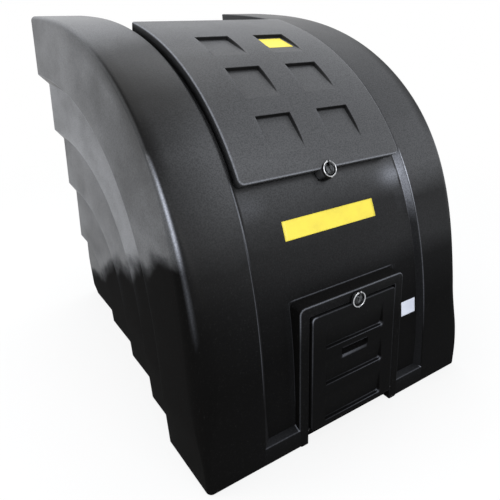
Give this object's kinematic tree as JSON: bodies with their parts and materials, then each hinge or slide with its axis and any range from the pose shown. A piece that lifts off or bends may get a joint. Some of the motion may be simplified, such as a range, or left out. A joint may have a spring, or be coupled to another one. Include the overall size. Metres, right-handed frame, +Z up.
{
  "type": "coal bunker",
  "caption": "Moulded plastic coal bunker with a curved front, stepped sides, a hinged filling lid and a drop-down shovel door, each held by a ring-handled cam lock.",
  "frame": {"origin": "middle of the footprint of the bounding box, at the ground", "axes": "+X to the right seen from the front, +Y to the back wall, +Z up; the door and the curved side face -Y"},
  "size_m": [0.778, 1.0158, 0.918],
  "materials": {
    "black_plastic": "weathered semi-gloss",
    "hinge_steel": "zinc plated",
    "lock_chrome": "polished",
    "lock_zinc": "zinc plated"
  },
  "bodies": {
    "bunker": {"body": "black_plastic", "hinge_body_leaves": "hinge_steel", "hinge_body_rivets": "hinge_steel", "hinge_pins": "hinge_steel"},
    "lid": {"lid": "black_plastic", "hinge_lid_leaves": "hinge_steel", "hinge_lid_rivets": "hinge_steel", "lid_lock_housing": "lock_chrome", "lid_lock_nut": "lock_zinc"},
    "lid_lock_plug": {"lid_lock_rotor": "lock_chrome", "lid_lock_cam": "lock_zinc", "lid_lock_cam_screw": "lock_zinc", "lid_lock_ring_pin": "lock_chrome"},
    "lid_lock_handle": {"lid_lock_ring": "lock_chrome"},
    "door": {"door": "black_plastic", "door_pivot_pins": "hinge_steel", "door_lock_housing": "lock_chrome", "door_lock_nut": "lock_zinc"},
    "door_lock_plug": {"door_lock_rotor": "lock_chrome", "door_lock_cam": "lock_zinc", "door_lock_cam_screw": "lock_zinc", "door_lock_ring_pin": "lock_chrome"},
    "door_lock_handle": {"door_lock_ring": "lock_chrome"}
  },
  "joints": [
    {"name": "lid_hinge", "type": "hinge", "parent": "bunker", "child": "lid", "pos_m": [0, 0.1449, 0.874], "axis": [-1, 0, 0], "range_deg": [0, 100]},
    {"name": "door_hinge", "type": "hinge", "parent": "bunker", "child": "door", "pos_m": [0, -0.4891, 0.036], "axis": [1, 0, 0], "range_deg": [0, 90]},
    {"name": "lid_lock_turn", "type": "hinge", "parent": "lid", "child": "lid_lock_plug", "pos_m": [0, -0.39028, 0.60166], "axis": [0, 0.8551, -0.5184], "range_deg": [0, 90]},
    {"name": "lid_ring_swing", "type": "hinge", "parent": "lid_lock_plug", "child": "lid_lock_handle", "pos_m": [0, -0.38865, 0.62055], "axis": [-1, 0, 0], "range_deg": [0, 109]},
    {"name": "door_lock_turn", "type": "hinge", "parent": "door", "child": "door_lock_plug", "pos_m": [0, -0.4971, 0.329], "axis": [0, 1, 0], "range_deg": [0, 90]},
    {"name": "door_ring_swing", "type": "hinge", "parent": "door_lock_plug", "child": "door_lock_handle", "pos_m": [0, -0.5055, 0.346], "axis": [-1, 0, 0], "range_deg": [-9, 100]}
  ]
}
